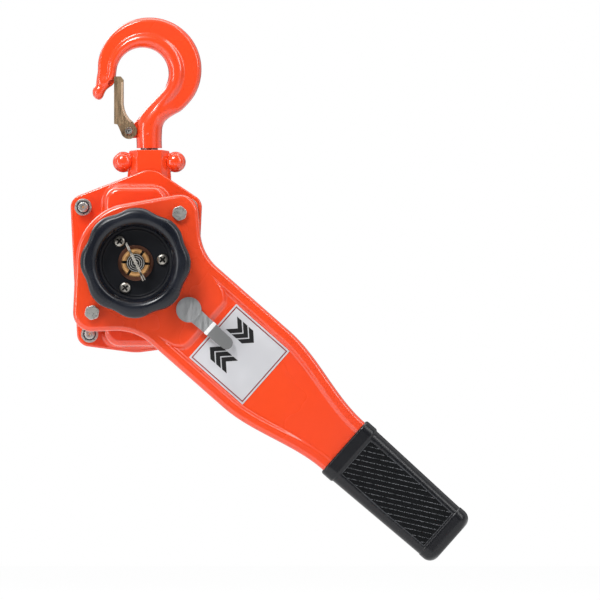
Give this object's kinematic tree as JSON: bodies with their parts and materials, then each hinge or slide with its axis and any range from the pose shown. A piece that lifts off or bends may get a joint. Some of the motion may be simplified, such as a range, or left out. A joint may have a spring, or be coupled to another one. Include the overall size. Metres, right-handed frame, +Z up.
{
  "type": "lever chain hoist",
  "caption": "Ratchet lever chain hoist with a latched swivel hook, brake and gear casings, a pocketed load sheave, a lobed handwheel and a long lever with a rubber grip",
  "frame": {"origin": "centre of the hook's bowl, where the hoist hangs", "axes": "+Z up along the hook's shank, +X to the right towards the lever's end, the handwheel looks towards -Y"},
  "size_m": [0.3455, 0.148, 0.4707],
  "materials": {
    "orange_paint": "glossy orange-red enamel over steel",
    "zinc": "bright zinc plating",
    "dark_steel": "oiled machined steel",
    "lining": "moulded friction lining",
    "bronze": "sintered bronze",
    "brass": "yellow brass",
    "wheel_black": "satin blue-black moulding",
    "grip_rubber": "fine-grained black rubber",
    "latch_zinc": "yellow-passivated pressed sheet",
    "label": "silver-white printed plate, left without wording",
    "selector_zinc": "grey die casting"
  },
  "bodies": {
    "hook": {"top_hook": "orange_paint", "hook_nut": "dark_steel", "latch_pin": "zinc", "latch_spring": "zinc"},
    "latch": {"latch": "latch_zinc"},
    "yoke": {"yoke_front_half": "orange_paint", "yoke_rear_half": "orange_paint", "yoke_rivets": "orange_paint"},
    "frame": {"suspension_pin": "dark_steel", "side_plate_front": "orange_paint", "side_plate_rear": "orange_paint", "brake_cover": "orange_paint", "gear_cover": "orange_paint", "stay_bolts": "zinc", "stay_sleeves": "dark_steel", "cover_studs": "zinc", "cover_nuts_front": "zinc", "cover_nuts_rear": "zinc", "sheave_bearings": "zinc", "roller_pins": "dark_steel", "chain_stripper": "dark_steel", "shaft_bush": "bronze", "gear_pins": "dark_steel", "ratchet_disc": "dark_steel", "pawl_pins": "dark_steel", "pawl_springs": "zinc", "lever_snap_ring": "dark_steel"},
    "sheave": {"load_sheave": "dark_steel", "load_gear": "dark_steel"},
    "cluster_a": {"gear_cluster_a": "dark_steel"},
    "cluster_b": {"gear_cluster_b": "dark_steel"},
    "drive": {"drive_shaft": "dark_steel", "disc_hub": "dark_steel", "friction_disc_inner": "lining", "friction_disc_outer": "lining", "end_washer": "bronze", "castle_nut": "brass", "cotter_pin": "zinc"},
    "hand_drive": {"change_gear": "dark_steel", "handwheel": "wheel_black", "wheel_screws": "zinc"},
    "lever": {"lever_rear_shell": "orange_paint", "lever_front_shell": "orange_paint", "lever_bolts": "zinc", "lever_nuts": "zinc", "lever_grip": "grip_rubber", "label_plate": "label", "detent_plunger": "dark_steel", "detent_spring": "zinc"},
    "selector": {"selector_lever": "selector_zinc", "change_pawl": "dark_steel"},
    "pawl_a": {"pawl_a": "dark_steel"},
    "pawl_b": {"pawl_b": "dark_steel"},
    "roller_a": {"guide_roller_a": "zinc"},
    "roller_b": {"guide_roller_b": "zinc"}
  },
  "joints": [
    {"name": "latch_open", "type": "hinge", "parent": "hook", "child": "latch", "pos_m": [-0.0139, 0, -0.0496], "axis": [0, 1, 0], "range_deg": [0, 30], "stiffness_Nm_per_rad": 0.15, "springref_deg": -28.65},
    {"name": "hook_swivel", "type": "hinge", "parent": "hook", "child": "yoke", "pos_m": [0.0039, 0, -0.07], "axis": [0, 0, 1], "continuous": true},
    {"name": "yoke_tilt", "type": "hinge", "parent": "yoke", "child": "frame", "pos_m": [0.0039, 0, -0.1038], "axis": [0, 1, 0], "range_deg": [-30, 30]},
    {"name": "drive_spin", "type": "hinge", "parent": "frame", "child": "drive", "pos_m": [-0.0074, 0, -0.1648], "axis": [0, 1, 0], "continuous": true},
    {"name": "brake_screw", "type": "hinge", "parent": "drive", "child": "hand_drive", "pos_m": [-0.0074, 0, -0.1648], "axis": [0, 1, 0], "range_deg": [0, 36]},
    {"name": "sheave_spin", "type": "hinge", "parent": "frame", "child": "sheave", "pos_m": [-0.0074, 0, -0.1648], "axis": [0, 1, 0], "continuous": true},
    {"name": "cluster_a_spin", "type": "hinge", "parent": "frame", "child": "cluster_a", "pos_m": [-0.0074, 0, -0.1363], "axis": [0, 1, 0], "continuous": true},
    {"name": "cluster_b_spin", "type": "hinge", "parent": "frame", "child": "cluster_b", "pos_m": [-0.0074, 0, -0.1933], "axis": [0, 1, 0], "continuous": true},
    {"name": "lever_swing", "type": "hinge", "parent": "frame", "child": "lever", "pos_m": [-0.0074, 0, -0.1648], "axis": [0, 1, 0], "continuous": true},
    {"name": "selector_turn", "type": "hinge", "parent": "lever", "child": "selector", "pos_m": [0.03873, 0, -0.20547], "axis": [0, 1, 0], "range_deg": [-36, 36]},
    {"name": "pawl_a_lift", "type": "hinge", "parent": "frame", "child": "pawl_a", "pos_m": [0.00868, 0, -0.12063], "axis": [0, 1, 0], "range_deg": [0, 12], "stiffness_Nm_per_rad": 0.1, "springref_deg": -28.65},
    {"name": "pawl_b_lift", "type": "hinge", "parent": "frame", "child": "pawl_b", "pos_m": [-0.02347, 0, -0.20897], "axis": [0, 1, 0], "range_deg": [0, 12], "stiffness_Nm_per_rad": 0.1, "springref_deg": -28.65},
    {"name": "roller_a_spin", "type": "hinge", "parent": "frame", "child": "roller_a", "pos_m": [-0.05016, 0, -0.1728], "axis": [0, 1, 0], "continuous": true},
    {"name": "roller_b_spin", "type": "hinge", "parent": "frame", "child": "roller_b", "pos_m": [0.03536, 0, -0.1728], "axis": [0, 1, 0], "continuous": true}
  ],
  "couplings": [
    {"joint": "sheave_spin", "follows": "drive_spin", "ratio": 0.21302},
    {"joint": "cluster_a_spin", "follows": "drive_spin", "ratio": -0.46154},
    {"joint": "cluster_b_spin", "follows": "drive_spin", "ratio": -0.46154}
  ]
}
